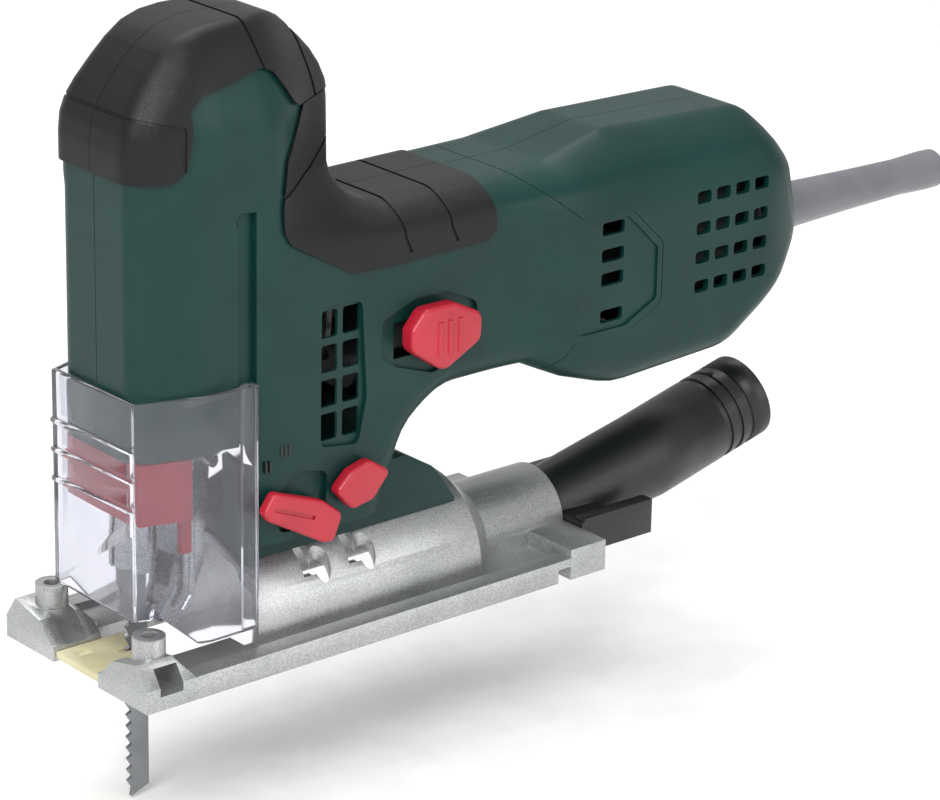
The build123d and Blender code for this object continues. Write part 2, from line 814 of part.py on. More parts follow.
def slide_button():
    """The red switch slider on the left side, with the stem through the shell."""
    y_face = -grip_half_width - 0.4
    body = Box(button_length, 5.4, button_height)
    body = fillet(body.edges().filter_by(Axis.Y), 6)
    body = Pos(button_x, y_face - 2.7, button_z) * body
    return body + block(button_x - 8, button_x + 8, y_face - 1, link_face_y, button_z - 5.6,
                        button_z + 5.6)


def switch_link():
    """The bar that carries the slider's travel back to the switch."""
    return block(button_x - 6, 176, link_face_y, link_face_y + 1.8, button_z - 3, button_z + 3)


def switch_module():
    body = block(178, 200, -24, -6, 84, 108)
    return fillet(body.edges().filter_by(Axis.Z), 2)


def electronics_board():
    """The speed control: a board with its potted block and a heat sink."""
    body = block(176, 226, -14, 20, 112, 114)
    body += block(184, 206, -8, 12, 114, 126)
    return body + block(210, 222, -8, 14, 114, 121)


def speed_wheel():
    """The thumb wheel for the stroke rate, in the right side of the motor housing."""
    low = wheel_z - wheel_width / 2
    high = wheel_z + wheel_width / 2
    body = rod_z(wheel_radius, low, high, wheel_x, wheel_y)
    for index in range(24):
        angle = math.radians(15 * index)
        x = wheel_x + wheel_radius * math.cos(angle)
        body -= rod_z(0.5, low - 1, high + 1, x, wheel_y + wheel_radius * math.sin(angle))
    return body


# ---- dust nozzle and cord boot ------------------------------------------------------------
def nozzle_place():
    """The frame at the nozzle's outer end, its z axis along the tube."""
    tilt = math.radians(nozzle_tilt)
    return Plane((nozzle_end_x, 0, nozzle_end_z), z_dir=(math.cos(tilt), 0, math.sin(tilt)))


def nozzle_form(inset, over):
    """The tube, the taper and the plug as one turned body."""
    big = nozzle_radius - inset
    small = spigot_radius - barrel_wall - 0.3 - inset
    place = nozzle_place()
    tube = place * Pos(0, 0, (over - nozzle_tube) / 2) * Cylinder(big, nozzle_tube + over)
    mouth = place * Pos(0, 0, -nozzle_tube) * Circle(big)
    neck = Plane((base_rear + 3, 0, barrel_axis_z), z_dir=(1, 0, 0)) * Circle(small)
    taper = loft([neck, mouth], ruled=True)
    plug = rod_x(small, base_rear - 9 - over, base_rear + 3, 0, barrel_axis_z)
    return tube + taper + plug


def dust_nozzle():
    """The plug-in outlet for a vacuum hose, with its two squeeze clips."""
    body = nozzle_form(0, 0)
    for side in (-1, 1):
        y0, y1 = sorted((side * 20, side * 25))
        body += block(base_rear + 2, base_rear + nozzle_clip_length, y0, y1, 1, 13)
    body += block(base_rear + 0.8, base_rear + nozzle_clip_length - 15, -25, 25, 1, 12)
    body -= nozzle_form(nozzle_wall, 4)
    return body & block(100, 300, -40, 40, 1, 80)


def cord_boot():
    """The strain relief for the mains lead, open right through."""
    root = motor_rear - 3
    points = [(root - 18, 0), (root - 18, boot_root_radius + 3), (root - 14, boot_root_radius + 3),
              (root - 14, boot_root_radius), (root + 5, boot_root_radius), (root + 24, 7.8),
              (root + 50, 6.9), (boot_end - 18, boot_neck_radius), (boot_end - 5, 6.9),
              (boot_end, 6.8), (boot_end, 0)]
    face = make_face(Polyline(*points, close=True))
    body = Pos(0, 0, boot_axis_z) * revolve(Plane.XZ * face, axis=Axis.X)
    return body - rod_x(boot_bore_radius, root - 20, boot_end + 10, 0, boot_axis_z)


def cord_clamp():
    """The bar and two screws that grip the mains lead inside the housing."""
    x0 = motor_rear - 34
    body = block(x0, x0 + 8, -14, 14, boot_axis_z + 4.2, boot_axis_z + 8)
    for y in (-10.0, 10.0):
        body += rod_z(3, boot_axis_z + 8, boot_axis_z + 10.5, x0 + 4, y)
        body += rod_z(1.6, boot_axis_z - 8, boot_axis_z + 8, x0 + 4, y)
    return body


# ---- fasteners ----------------------------------------------------------------------------
def screw(head_y, x, z):
    """One housing screw, its head on the right."""
    return rod_y(screw_radius, 6 - head_y, head_y, x, z) + rod_y(screw_head_radius, head_y,
                                                                head_y + 2.6, x, z)


def housing_screws():
    """The screws that hold the shell halves together."""
    screws = [screw(column_half_width - 5, x, z) for x, z in front_screws]
    return screws + [screw(motor_half_width - 5, x, z) for x, z in motor_screws]


def clamp_screws():
    """The screws that draw the clamp shoe up against the saddle."""
    low = barrel_axis_z + barrel_radius - barrel_wall - 3
    screws = []
    for x in clamp_screws_x:
        body = rod_z(screw_radius, low, housing_foot + 0.5, x)
        body += rod_z(screw_head_radius, housing_foot + 0.5, housing_foot + 2.8, x)
        screws.append(body)
    return screws


def group(pieces):
    """Several separate solids as one node."""
    solids = []
    for piece in pieces:
        solids.extend(piece.solids())
    return Compound(solids)


nodes = {
    "front_shell_left": left_half(front_shell()),
    "front_shell_right": right_half(front_shell()),
    "rear_shell_left": left_half(rear_shell()),
    "rear_shell_right": right_half(rear_shell()),
    "cap_rubber_left": left_half(cap_rubber()),
    "cap_rubber_right": right_half(cap_rubber()),
    "grip_rubber_left": left_half(grip_rubber()),
    "grip_rubber_right": right_half(grip_rubber()),
    "foot_saddle": foot_saddle(),
    "gear_case": gear_case(),
    "gear_spindle": gear_spindle(),
    "front_bearing": front_bearing(),
    "rear_bearing": rear_bearing(),
    "bearing_bracket": bearing_bracket(),
    "lower_guide_bridge": guide_bridge(*lower_bridge_z, 12),
    "upper_guide_bridge": guide_bridge(*upper_bridge_z, 12),
    "lower_plunger_bush": guide_bush(*lower_bridge_z, True),
    "upper_plunger_bush": guide_bush(*upper_bridge_z, False),
    "stator_core": stator_core(),
    "field_coils": group(field_coils()),
    "brush_holders": group(brush_set("holder")),
    "carbon_brushes": group(brush_set("carbon")),
    "brush_springs": group(brush_set("spring")),
    "fan_baffle": fan_baffle(),
    "fork_pin": fork_pin(),
    "touch_guard": touch_guard(),
    "switch_module": switch_module(),
    "electronics_board": electronics_board(),
    "cord_boot": cord_boot(),
    "cord_clamp": cord_clamp(),
    "housing_screws": group(housing_screws()),
    "base_clamp_screws": group(clamp_screws()),
    "rotor_shaft": rotor_shaft(),
    "armature_core": armature(),
    "commutator": commutator(),
    "pinion": pinion(),
    "cooling_fan": fan(),
    "drive_gear": drive_gear(),
    "crank_pin": crank_pin(),
    "plunger_rod": plunger_rod(),
    "crank_yoke": crank_yoke(),
    "blade_holder": blade_holder(),
    "saw_blade": blade(),
    "orbital_fork": orbital_fork(),
    "roller_pin": roller_pin(),
    "guide_roller": guide_roller(),
    "orbital_selector": orbital_selector(),
    "blower_knob": blower_knob(),
    "slide_button": slide_button(),
    "switch_link": switch_link(),
    "speed_wheel": speed_wheel(),
    "chip_guard": chip_guard(),
    "release_lever": release_lever(),
    "base_plate": base_plate(),
    "chip_insert": chip_insert(),
    "base_clamp": base_clamp(),
    "dust_nozzle": dust_nozzle(),
}

os.makedirs("parts", exist_ok=True)
for name, shape in nodes.items():
    export_step(shape, "parts/" + name + ".step")
print(len(nodes), "nodes written")
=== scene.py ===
# %% [markdown]
# # A jigsaw, finished in Blender
# The frame holds every part of the saw at its real place and size.  This lesson dresses it:
# moulded shells, soft overmoulds, a bead-blasted base and a clear chip guard.

# %% Load the frame
import bpy
import bmesh
import json
import math
from mathutils import Matrix, Vector

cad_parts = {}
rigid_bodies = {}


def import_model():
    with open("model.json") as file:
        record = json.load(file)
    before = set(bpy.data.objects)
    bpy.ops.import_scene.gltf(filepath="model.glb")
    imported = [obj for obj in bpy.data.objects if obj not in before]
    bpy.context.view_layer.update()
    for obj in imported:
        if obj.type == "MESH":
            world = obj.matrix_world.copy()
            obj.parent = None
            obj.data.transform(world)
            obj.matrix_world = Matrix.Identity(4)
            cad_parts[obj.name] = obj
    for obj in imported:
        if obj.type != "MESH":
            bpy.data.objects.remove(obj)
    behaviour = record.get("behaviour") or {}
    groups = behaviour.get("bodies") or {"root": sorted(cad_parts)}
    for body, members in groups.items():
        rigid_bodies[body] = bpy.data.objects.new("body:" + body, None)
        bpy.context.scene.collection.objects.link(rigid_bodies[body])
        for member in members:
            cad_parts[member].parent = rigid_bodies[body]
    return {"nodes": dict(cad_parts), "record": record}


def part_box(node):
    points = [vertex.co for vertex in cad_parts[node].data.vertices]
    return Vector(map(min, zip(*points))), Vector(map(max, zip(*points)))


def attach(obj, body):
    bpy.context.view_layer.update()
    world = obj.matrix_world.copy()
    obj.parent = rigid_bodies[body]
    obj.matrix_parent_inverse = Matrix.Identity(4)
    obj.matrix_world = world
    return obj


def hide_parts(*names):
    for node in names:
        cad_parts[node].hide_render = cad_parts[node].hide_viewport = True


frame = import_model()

MM = 0.001
for leftover in [o for o in bpy.data.objects if o.name in ("Cube", "Light", "Camera")]:
    bpy.data.objects.remove(leftover)
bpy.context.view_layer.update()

# %% [markdown]
# Colours are picked as sRGB hex values, the way a designer reads them off a chart, but shaders
# work in linear light.  One function converts them, and one function adds any shader node.

# %% Colour and node helpers
def linear(hex_text):
    """An sRGB hex colour as linear RGBA."""
    channels = [int(hex_text[i:i + 2], 16) / 255 for i in (1, 3, 5)]
    values = [c / 12.92 if c <= 0.04045 else ((c + 0.055) / 1.055) ** 2.4 for c in channels]
    return (*values, 1.0)


def add(tree, kind, settings=None, links=None):
    """Adds a node, sets its properties or sockets, and links sockets from (node, output)."""
    node = tree.nodes.new(kind)
    for name, value in (settings or {}).items():
        if name in node.inputs:
            node.inputs[name].default_value = value
        else:
            setattr(node, name, value)
    for name, (source, output) in (links or {}).items():
        tree.links.new(source.outputs[output], node.inputs[name])
    return node


# %% [markdown]
# A moulded plastic part is one colour all through, yet it never looks flat: the mould's spark
# eroded texture breaks up the gloss, and the colour drifts a little where the melt cooled.  A
# base recipe draws that with two noises on Object coordinates, scaled from millimetres.

# %% Base recipe for a moulded or cast surface
def surface(name, dark, light, roughness, grain_mm, bump_mm, metallic=0.0, spread=0.08,
            drift_mm=25.0, sheen=0.0, coat=0.0, speckle=None, ior=1.5, specular=0.5):
    """A procedural finish: colour drift, grain bump and uneven gloss."""
    material = bpy.data.materials.new(name)
    material.use_nodes = True
    tree = material.node_tree
    tree.nodes.clear()
    place = add(tree, "ShaderNodeTexCoord")
    drift = add(tree, "ShaderNodeTexNoise",
                {"Scale": 1 / (drift_mm * MM), "Detail": 3.0, "Roughness": 0.55},
                {"Vector": (place, "Object")})
    grain = add(tree, "ShaderNodeTexNoise",
                {"Scale": 1 / (grain_mm * MM), "Detail": 2.0, "Roughness": 0.6},
                {"Vector": (place, "Object")})
    ramp = add(tree, "ShaderNodeValToRGB", {}, {"Fac": (drift, "Fac")})
    ramp.color_ramp.elements[0].position = 0.35
    ramp.color_ramp.elements[1].position = 0.65
    ramp.color_ramp.elements[0].color = linear(dark)
    ramp.color_ramp.elements[1].color = linear(light)
    colour = (ramp, "Color")
    if speckle:
        dots = add(tree, "ShaderNodeValToRGB", {}, {"Fac": (grain, "Fac")})
        dots.color_ramp.elements[0].position = 0.42
        dots.color_ramp.elements[1].position = 0.60
        dots.color_ramp.elements[0].color = linear(speckle[0])
        dots.color_ramp.elements[1].color = linear(speckle[1])
        mix = add(tree, "ShaderNodeMix", {"data_type": "RGBA", "blend_type": "MULTIPLY"})
        mix.inputs["Factor"].default_value = 1.0
        tree.links.new(ramp.outputs["Color"], mix.inputs["A"])
        tree.links.new(dots.outputs["Color"], mix.inputs["B"])
        colour = (mix, "Result")
    gloss = add(tree, "ShaderNodeMapRange",
                {"From Min": 0.3, "From Max": 0.7, "To Min": roughness - spread,
                 "To Max": roughness + spread}, {"Value": (grain, "Fac")})
    bump = add(tree, "ShaderNodeBump", {"Strength": 0.6, "Distance": bump_mm * MM},
               {"Height": (grain, "Fac")})
    shader = add(tree, "ShaderNodeBsdfPrincipled",
                 {"Metallic": metallic, "IOR": ior, "Coat Weight": coat,
                  "Specular IOR Level": specular,
                  "Coat Roughness": 0.25, "Sheen Weight": sheen, "Sheen Roughness": 0.5},
                 {"Base Color": colour, "Roughness": (gloss, "Result"),
                  "Normal": (bump, "Normal")})
    add(tree, "ShaderNodeOutputMaterial", {}, {"Surface": (shader, "BSDF")})
    return material


# %% [markdown]
# The housing is glass-filled nylon in a deep green.  Its grip skins are a thermoplastic rubber
# moulded over it: darker, rougher, with a coarser grain and a little sheen, so the light edge
# of a curve never turns glossy.

# %% Plastics and rubbers
green_nylon = surface("green glass-filled nylon, spark-eroded mould", "#062a27", "#08302c",
                      0.38, 0.5, 0.03, specular=0.26)
rubber_skin = surface("black thermoplastic rubber, grained overmould", "#0b0c0d", "#111213",
                      0.46, 0.55, 0.05, sheen=0.02, specular=0.26)
boot_vinyl = surface("dark grey soft vinyl, smooth moulded", "#5a5b60", "#66676c",
                     0.36, 0.8, 0.02, coat=0.15)
red_nylon = surface("red nylon, polished mould", "#9c1226", "#ab182c", 0.38, 0.6, 0.02,
                    coat=0.1)
black_nylon = surface("black glass-filled nylon, moulded", "#0e1012", "#141618", 0.40, 0.6,
                      0.03)
insert_nylon = surface("natural nylon, moulded", "#b9b18a", "#cfc8a6", 0.45, 0.7, 0.02)

# %% [markdown]
# The base is pressure die-cast aluminium, tumbled and bead blasted.  Blasting leaves thousands
# of tiny dents that each catch the light, so the metal sparkles instead of mirroring.  They
# are drawn at 0.45 mm, a size picked so that they show; real ones are probably finer.

# %% Metals
blasted_aluminium = surface("die-cast aluminium, bead blasted", "#b0b2b3", "#c0c1c2", 0.38,
                            0.45, 0.02, metallic=0.8, speckle=("#d8d8d8", "#ffffff"))
ground_steel = surface("hardened steel, ground", "#8f9092", "#a9aaac", 0.28, 0.7, 0.01,
                       metallic=1.0)
blade_steel = surface("tool steel saw blade, shot grey", "#77797c", "#8b8d90", 0.4, 0.5, 0.02,
                      metallic=0.8)
laminated_iron = surface("laminated core iron, oiled", "#3a3b3d", "#4a4b4c", 0.45, 0.5, 0.02,
                         metallic=0.7)
sintered_bronze = surface("sintered bronze bush", "#8a6536", "#9d7640", 0.42, 0.5, 0.02,
                          metallic=1.0)
enamelled_copper = surface("enamelled copper winding", "#8e4322", "#a5552c", 0.35, 0.6, 0.05,
                           metallic=0.9)
pressed_carbon = surface("pressed carbon", "#1c1c1d", "#262627", 0.5, 0.4, 0.02)
board_laminate = surface("green circuit board, lacquered", "#12402a", "#185035", 0.35, 1.2,
                         0.03)


# %% [markdown]
# The chip guard is injected polycarbonate.  Clear plastic shows itself by its edges and its
# reflections, so the shader is nearly pure transmission with a faint cool tint and a little
# haze from moulding.  Its refractive index is set for the look, below polycarbonate's 1.585.

# %% Clear plastic
GUARD_INDEX = 1.30


def clear_plastic(name, tint, roughness):
    """Transmissive polycarbonate with a faint haze."""
    material = bpy.data.materials.new(name)
    material.use_nodes = True
    tree = material.node_tree
    tree.nodes.clear()
    place = add(tree, "ShaderNodeTexCoord")
    haze = add(tree, "ShaderNodeTexNoise", {"Scale": 1 / (18 * MM), "Detail": 2.0},
               {"Vector": (place, "Object")})
    gloss = add(tree, "ShaderNodeMapRange",
                {"From Min": 0.3, "From Max": 0.7, "To Min": roughness * 0.5,
                 "To Max": roughness * 1.5}, {"Value": (haze, "Fac")})
    tone = add(tree, "ShaderNodeValToRGB", {}, {"Fac": (haze, "Fac")})
    tone.color_ramp.elements[0].color = linear(tint[0])
    tone.color_ramp.elements[1].color = linear(tint[1])
    shader = add(tree, "ShaderNodeBsdfPrincipled",
                 {"Transmission Weight": 0.96, "IOR": GUARD_INDEX, "Specular IOR Level": 0.8},
                 {"Base Color": (tone, "Color"), "Roughness": (gloss, "Result")})
    add(tree, "ShaderNodeOutputMaterial", {}, {"Surface": (shader, "BSDF")})
    return material


clear_polycarbonate = clear_plastic("clear polycarbonate, injected", ("#e3e4ec", "#f2f2f8"), 0.06)

# %% [markdown]
# Every node of the frame gets the finish of its own material slot first.  The inner parts keep
# their exact shape.  The outer ones are replaced further down: some are modelled again, and
# six are copies of their own node with rounded edges.

# %% Finishes for the frame's own nodes
finish_of_slot = {
    "housing_plastic": green_nylon, "black_rubber": rubber_skin,
    "cast_aluminium": blasted_aluminium, "steel": ground_steel, "blade_steel": blade_steel,
    "bronze": sintered_bronze, "core_steel": laminated_iron, "copper": enamelled_copper,
    "carbon": pressed_carbon, "black_plastic": black_nylon, "board": board_laminate,
    "red_plastic": red_nylon, "clear_plastic": clear_polycarbonate,
    "insert_plastic": insert_nylon,
}
slot_of = {row["node"]: row["material_slot"] for row in frame["record"]["subparts"]}
for node_name, node_object in frame["nodes"].items():
    finish = boot_vinyl if node_name == "cord_boot" else finish_of_slot[slot_of[node_name]]
    if not node_object.material_slots:
        node_object.data.materials.append(finish)
    for material_slot in node_object.material_slots:
        material_slot.material = finish
print(len(frame["nodes"]), "nodes finished")

# %% [markdown]
# A product shot uses a pale sweep and large soft lights.  The saw hangs with its blade just
# above the floor, as it does in the hand.

# %% Floor, lights and camera
def area_light(name, place, target, size, power):
    """A square soft light that looks at a target."""
    data = bpy.data.lights.new(name, "AREA")
    data.shape = "SQUARE"
    data.size = size
    data.energy = power
    lamp = bpy.data.objects.new(name, data)
    bpy.context.collection.objects.link(lamp)
    lamp.location = place
    aim = Vector(target) - Vector(place)
    lamp.rotation_euler = aim.to_track_quat("-Z", "Y").to_euler()
    return lamp


floor_mesh = bpy.data.meshes.new("studio_floor")
floor_bm = bmesh.new()
bmesh.ops.create_grid(floor_bm, x_segments=1, y_segments=1, size=6.0)
bmesh.ops.translate(floor_bm, verts=floor_bm.verts,
                    vec=(0, 0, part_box("saw_blade")[0][2] - 0.001))
floor_bm.to_mesh(floor_mesh)
floor_bm.free()
floor = bpy.data.objects.new("studio_floor", floor_mesh)
bpy.context.collection.objects.link(floor)
floor_mesh.materials.append(surface("pale studio board", "#e9e9e8", "#f0f0ef", 0.7, 3.0, 0.01))

centre = (0.12, 0.0, 0.09)
area_light("key_light", (-0.9, -0.7, 1.1), centre, 0.9, 22)
area_light("side_light", (0.5, -1.3, 0.5), centre, 0.9, 6)
area_light("top_light", (0.3, 0.4, 1.5), centre, 1.2, 17)
world = bpy.data.worlds.new("studio")
world.use_nodes = True
world.node_tree.nodes["Background"].inputs["Color"].default_value = linear("#ffffff")
world.node_tree.nodes["Background"].inputs["Strength"].default_value = 0.6
bpy.context.scene.world = world
bpy.context.scene.view_settings.view_transform = "Standard"

azimuth, elevation, roll = math.radians(-40.51), math.radians(20.55), math.radians(1.115)
distance = 1.3159
aim_point = Vector((0.13347, 0.0, 0.05428))
back = Vector((math.sin(azimuth) * math.cos(elevation), -math.cos(azimuth) * math.cos(elevation),
               math.sin(elevation)))
right = Vector((math.cos(azimuth), math.sin(azimuth), 0))
up = back.cross(right)
turned_right = math.cos(roll) * right + math.sin(roll) * up
turned_up = math.cos(roll) * up - math.sin(roll) * right
camera_data = bpy.data.cameras.new("product_camera")
camera_data.lens = 154.7
camera_data.sensor_width = 36.0
camera_data.clip_start = 0.05
camera = bpy.data.objects.new("product_camera", camera_data)
bpy.context.collection.objects.link(camera)
camera.matrix_world = Matrix((
    (turned_right.x, turned_up.x, back.x, (aim_point + back * distance).x),
    (turned_right.y, turned_up.y, back.y, (aim_point + back * distance).y),
    (turned_right.z, turned_up.z, back.z, (aim_point + back * distance).z),
    (0, 0, 0, 1)))
bpy.context.scene.camera = camera


# %% [markdown]
# Most of the saw's outer parts are mouldings: a flat outline pushed through a depth, with its
# rims rounded.  So the lesson's tools are an outline with arcs at its corners, a prism made by
# extruding it, slices that give the surface a grid to shape, and a Boolean cut.

# %% Modelling helpers
def rounded(points, arc_step=0.16):
    """The outline in millimetres; a third value on a corner is its radius."""
    outline = []
    count = len(points)
    for index, point in enumerate(points):
        corner = Vector(point[:2])
        radius = point[2] if len(point) > 2 else 0
        if radius == 0:
            outline.append(corner)
            continue
        to_last = (Vector(points[index - 1][:2]) - corner).normalized()
        to_next = (Vector(points[(index + 1) % count][:2]) - corner).normalized()
        half = to_last.angle(to_next) / 2
        middle = corner + (to_last + to_next).normalized() * (radius / math.sin(half))
        start = corner + to_last * (radius / math.tan(half)) - middle
        sweep = start.angle_signed(corner + to_next * (radius / math.tan(half)) - middle)
        steps = max(2, round(abs(sweep) / arc_step))
        for step in range(steps + 1):
            turn = Matrix.Rotation(-sweep * step / steps, 2)
            outline.append(middle + turn @ start)
    return outline


def prism(points, low, high, axis="Y", arc_step=0.16):
    """A solid with a flat outline in millimetres, extruded along an axis."""
    place = {"X": lambda u, v: (low, u, v), "Y": lambda u, v: (u, low, v),
             "Z": lambda u, v: (u, v, low)}[axis]
    bm = bmesh.new()
    corners = [bm.verts.new(Vector(place(*p)) * MM) for p in rounded(points, arc_step)]
    face = bm.faces.new(corners)
    moved = bmesh.ops.extrude_face_region(bm, geom=[face])["geom"]
    push = {"X": (1, 0, 0), "Y": (0, 1, 0), "Z": (0, 0, 1)}[axis]
    tops = [item for item in moved if isinstance(item, bmesh.types.BMVert)]
    bmesh.ops.translate(bm, verts=tops, vec=Vector(push) * (high - low) * MM)
    bmesh.ops.recalc_face_normals(bm, faces=bm.faces)
    return bm


def cylinder(radius, centre, length, axis="Z", segments=48):
    """A round bar about an axis, in millimetres, centred on a point."""
    turn = {"X": Matrix.Rotation(math.pi / 2, 4, "Y"), "Y": Matrix.Rotation(-math.pi / 2, 4, "X"),
            "Z": Matrix.Identity(4)}[axis]
    bm = bmesh.new()
    bmesh.ops.create_cone(
        bm, cap_ends=True, segments=segments, radius1=radius * MM, radius2=radius * MM,
        depth=length * MM,
        matrix=Matrix.Translation(Vector(centre) * MM) @ turn)
    return bm


def box(low, high):
    """A block between two corners, in millimetres."""
    size = Vector(high) - Vector(low)
    middle = (Vector(high) + Vector(low)) / 2
    bm = bmesh.new()
    bmesh.ops.create_cube(bm, size=MM, matrix=Matrix.Translation(middle * MM)
                          @ Matrix.Diagonal((*size, 1)))
    return bm


def turned(profile, segments=64):
    """A part turned on a lathe: (along, radius) pairs in millimetres, spun about X."""
    bm = bmesh.new()
    verts = [bm.verts.new(Vector((x, 0, r)) * MM) for x, r in profile]
    edges = [bm.edges.new(pair) for pair in zip(verts, verts[1:] + verts[:1])]
    bmesh.ops.spin(bm, geom=verts + edges, cent=(0, 0, 0), axis=(1, 0, 0),
                   angle=2 * math.pi, steps=segments)
    bmesh.ops.remove_doubles(bm, verts=bm.verts, dist=0.005 * MM)
    bmesh.ops.recalc_face_normals(bm, faces=bm.faces)
    return bm


def bevel(bm, width, segments=3, sharp=35, chosen=None):
    """Rounds every edge sharper than an angle, or those that a test picks."""
    edges = [edge for edge in bm.edges if len(edge.link_faces) == 2
             and edge.calc_face_angle(0) > math.radians(sharp)
             and (chosen is None or chosen(edge))]
    bmesh.ops.bevel(bm, geom=edges, offset=width * MM, segments=segments, profile=0.5,
                    affect="EDGES", clamp_overlap=True, material=-1)
    return bm


def joined(first, *others):
    """Several separate bodies in one mesh."""
    for other in others:
        data = bpy.data.meshes.new("scratch")
        other.to_mesh(data)
        other.free()
        first.from_mesh(data)
        bpy.data.meshes.remove(data)
    return first


def as_object(name, bm):
    """Puts a bmesh in the scene."""
    data = bpy.data.meshes.new(name)
    bm.to_mesh(data)
    bm.free()
    piece = bpy.data.objects.new(name, data)
    bpy.context.collection.objects.link(piece)
    return piece


def boolean(piece, tool_bm, operation="DIFFERENCE"):
    """Cuts with, adds or keeps the overlap with a tool body, and applies it."""
    tool = as_object("scratch_tool", tool_bm)
    modifier = piece.modifiers.new(operation.lower(), "BOOLEAN")
    modifier.operation = operation
    modifier.solver = "EXACT"
    modifier.use_self = False
    modifier.object = tool
    bpy.context.view_layer.update()
    graph = bpy.context.evaluated_depsgraph_get()
    data = bpy.data.meshes.new_from_object(piece.evaluated_get(graph))
    old = piece.data
    piece.modifiers.clear()
    piece.data = data
    data.name = piece.name
    bpy.data.meshes.remove(old)
    bpy.data.objects.remove(tool)
    return piece


def finish_piece(piece, body, finish, replaces=(), smooth=35, finishes=()):
    """Gives a piece its material, smooth shading, body and the CAD nodes it stands for."""
    piece.data.materials.clear()
    for material in (finish, *finishes):
        piece.data.materials.append(material)
    for polygon in piece.data.polygons:
        polygon.use_smooth = True
        if not finishes:
            polygon.material_index = 0
    piece.data.set_sharp_from_angle(angle=math.radians(smooth))
    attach(piece, body)
    if replaces:
        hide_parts(*replaces)
    corners = [Vector(v.co) for v in piece.data.vertices]
    low = [round(min(c[i] for c in corners) / MM, 1) for i in range(3)]
    high = [round(max(c[i] for c in corners) / MM, 1) for i in range(3)]
    print(piece.name, len(piece.data.polygons), "faces, mm", low, high)
    return piece


# %% [markdown]
# ## The housing
# A jigsaw's body is a clamshell: two half mouldings meeting on the centre plane.  Its shape
# comes from a side outline pushed to full width, with generous rounding, then narrowed where
# the hand wraps round it.  Here the prism is sliced into a grid, and every vertex is moved
# sideways by a width law, so that the surface stays one smooth skin.

# %% The housing's outline and width law
HALF = 30.0
WALL = 2.4
BODY_OUTLINE = [
    (-14, 50), (-14, 177, 24), (6, 201.4, 30), (44, 201.4, 24), (65, 182, 24),
    (65, 136.8, 14), (146, 137.5), (174, 142.4), (235, 140.5, 9), (250, 122, 14),
    (257, 96, 20), (247, 80, 20), (220, 62, 20), (170, 59.5, 26), (150, 66), (134, 73.6),
    (100, 73.6, 20), (86, 64, 20), (66, 14),
]
SKIN_OUTLINE = BODY_OUTLINE + [(12, 14), (12, 50)]
CORE_OUTLINE = [(-14, 60)] + BODY_OUTLINE[1:] + [(25.4, 14), (25.4, 60)]


def blend(value, low, high):
    """A smooth step from 0 at low to 1 at high."""
    share = min(max((value - low) / (high - low), 0.0), 1.0)
    return share * share * (3 - 2 * share)


def half_width(x, z):
    """Half the body's width in millimetres: narrow column, grip, wide motor end."""
    column = 26.3 - 6.8 * (1 - min(max((x + 14) / 22, 0), 1))
    column -= 1.2 * blend(x, 9, 10.5) * (1 - blend(x, 17, 20)) * (1 - blend(z, 144, 149))
    column += 0.8 * blend(z, 151.5, 152.5) * (1 - blend(x, 24, 30))
    grip = 28.5 - 1.5 * blend(z, 150, 201)
    width = column + (grip - column) * blend(x, 22, 34)
    width += 4.5 * blend(x, 120, 160) * (1 - blend(z, 118, 141))
    width -= 5.0 * blend(x, 234, 257)
    width -= 17.0 * blend(x, 28, 66) * blend(z, 128, 152)
    width -= 9.0 * blend(z, 172, 203)
    return width


def drawn_in(outline, inset):
    """The outline moved inwards, with every corner's radius kept concentric."""
    corners = [Vector(point[:2]) for point in outline]
    area = sum(a.x * b.y - b.x * a.y for a, b in zip(corners, corners[1:] + corners[:1]))
    turn = 1 if area > 0 else -1
    moved = []
    for index, point in enumerate(outline):
        along_in = (corners[index] - corners[index - 1]).normalized()
        along_out = (corners[(index + 1) % len(corners)] - corners[index]).normalized()
        normal_in = Vector((-along_in.y, along_in.x)) * turn
        normal_out = Vector((-along_out.y, along_out.x)) * turn
        shift = (normal_in + normal_out) * inset / (1 + normal_in.dot(normal_out))
        convex = (along_in.x * along_out.y - along_in.y * along_out.x) * turn > 0
        radius = point[2] - inset * (1 if convex else -1) if len(point) > 2 else 0
        moved.append((*(corners[index] + shift), max(radius, 0)))
    return moved


def shaped(outline, inset=0.0, rim=15.0, step=4.5):
    """The rounded, sliced and narrowed body, moved in by an inset all round."""
    bm = prism(drawn_in(outline, inset), -HALF, HALF, arc_step=0.2)
    rims = [edge for edge in bm.edges
            if abs(abs(edge.verts[0].co.y) - HALF * MM) < 1e-6
            and abs(edge.verts[0].co.y - edge.verts[1].co.y) < 1e-6]
    bmesh.ops.bevel(bm, geom=rims, offset=(rim - inset) * MM, segments=8, profile=0.5,
                    affect="EDGES", clamp_overlap=True, material=-1)
    for axis, low, high in (((1, 0, 0), -13, 257), ((0, 0, 1), 16, 200), ((0, 1, 0), -30, 30)):
        for number in range(int((high - low) / step) + 1):
            plane = Vector(axis) * (low + number * step) * MM
            bmesh.ops.bisect_plane(bm, geom=bm.verts[:] + bm.edges[:] + bm.faces[:],
                                   dist=1e-6, plane_co=plane, plane_no=axis)
    for vert in bm.verts:
        x, y, z = vert.co / MM
        vert.co.y = y / HALF * (half_width(x, z) - inset) * MM
    return bm


# %% [markdown]
# The openings come first, each with its purpose: the plunger's exit below the column, the
# guard's two guide grooves, the air windows, the switch pocket, the knobs' stems, the screw
# wells and the cord boot's collar.  Subtracting the same body drawn in by the wall's thickness
# then leaves a hollow shell, as the moulding core does.

# %% Hollow the body and cut its openings
shell = as_object("shell", shaped(SKIN_OUTLINE))
boolean(shell, box((-60, -60, -10), (25.4, 60, 72.6)))
boolean(shell, box((-60, -60, -10), (200, 60, 38.8)))

